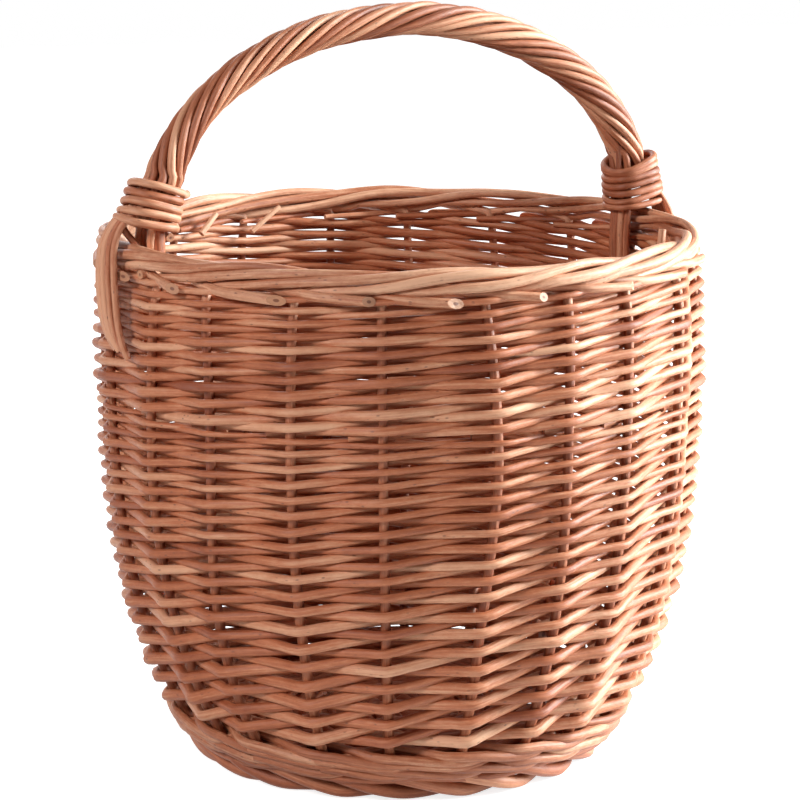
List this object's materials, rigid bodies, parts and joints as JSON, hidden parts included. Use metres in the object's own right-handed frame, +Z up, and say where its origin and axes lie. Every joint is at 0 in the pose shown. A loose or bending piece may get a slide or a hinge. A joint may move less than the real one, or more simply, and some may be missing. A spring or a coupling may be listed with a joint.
{
  "type": "woven foraging basket",
  "caption": "Round stake-and-strand willow basket with a rolled border, a woven foot and a fixed rope-twisted hoop handle, for gathering mushrooms.",
  "frame": {"origin": "centre of the foot on the ground", "axes": "+Z up, +X towards the handle's right foot, the handle stands in the XZ plane, +Y through the opening under the handle"},
  "size_m": [0.377, 0.3658, 0.4466],
  "materials": {
    "stake_willow": "peeled buff willow, satin",
    "weaver_willow": "peeled buff willow, satin",
    "upsett_willow": "peeled buff willow, satin",
    "foot_willow": "peeled buff willow, satin",
    "base_stick_willow": "peeled buff willow, satin",
    "base_weaver_willow": "peeled buff willow, satin",
    "bow_willow": "peeled buff willow, satin",
    "strand_willow": "peeled buff willow, satin",
    "wrap_willow": "peeled buff willow, satin"
  },
  "bodies": {
    "root": {"base_sticks": "base_stick_willow", "base_weaver": "base_weaver_willow", "foot_rod_lower": "foot_willow", "foot_rod_upper": "foot_willow", "stake_01": "stake_willow", "stake_02": "stake_willow", "stake_03": "stake_willow", "stake_04": "stake_willow", "stake_05": "stake_willow", "stake_06": "stake_willow", "stake_07": "stake_willow", "stake_08": "stake_willow", "stake_09": "stake_willow", "stake_10": "stake_willow", "stake_11": "stake_willow", "stake_12": "stake_willow", "stake_13": "stake_willow", "stake_14": "stake_willow", "stake_15": "stake_willow", "stake_16": "stake_willow", "stake_17": "stake_willow", "stake_18": "stake_willow", "stake_19": "stake_willow", "stake_20": "stake_willow", "upsett_rod_01": "upsett_willow", "upsett_rod_02": "upsett_willow", "upsett_rod_03": "upsett_willow", "weaver_01": "weaver_willow", "weaver_02": "weaver_willow", "weaver_03": "weaver_willow", "weaver_04": "weaver_willow", "weaver_05": "weaver_willow", "weaver_06": "weaver_willow", "weaver_07": "weaver_willow", "weaver_08": "weaver_willow", "weaver_09": "weaver_willow", "weaver_10": "weaver_willow", "weaver_11": "weaver_willow", "weaver_12": "weaver_willow", "weaver_13": "weaver_willow", "weaver_14": "weaver_willow", "weaver_15": "weaver_willow", "weaver_16": "weaver_willow", "weaver_17": "weaver_willow", "weaver_18": "weaver_willow", "weaver_19": "weaver_willow", "weaver_20": "weaver_willow", "handle_bow": "bow_willow", "handle_strand_01": "strand_willow", "handle_strand_02": "strand_willow", "handle_strand_03": "strand_willow", "handle_strand_04": "strand_willow", "handle_strand_05": "strand_willow", "handle_strand_06": "strand_willow", "handle_strand_07": "strand_willow", "handle_strand_08": "strand_willow", "handle_strand_09": "strand_willow", "handle_strand_10": "strand_willow", "handle_wrap_left": "wrap_willow", "handle_wrap_right": "wrap_willow"}
  },
  "joints": []
}
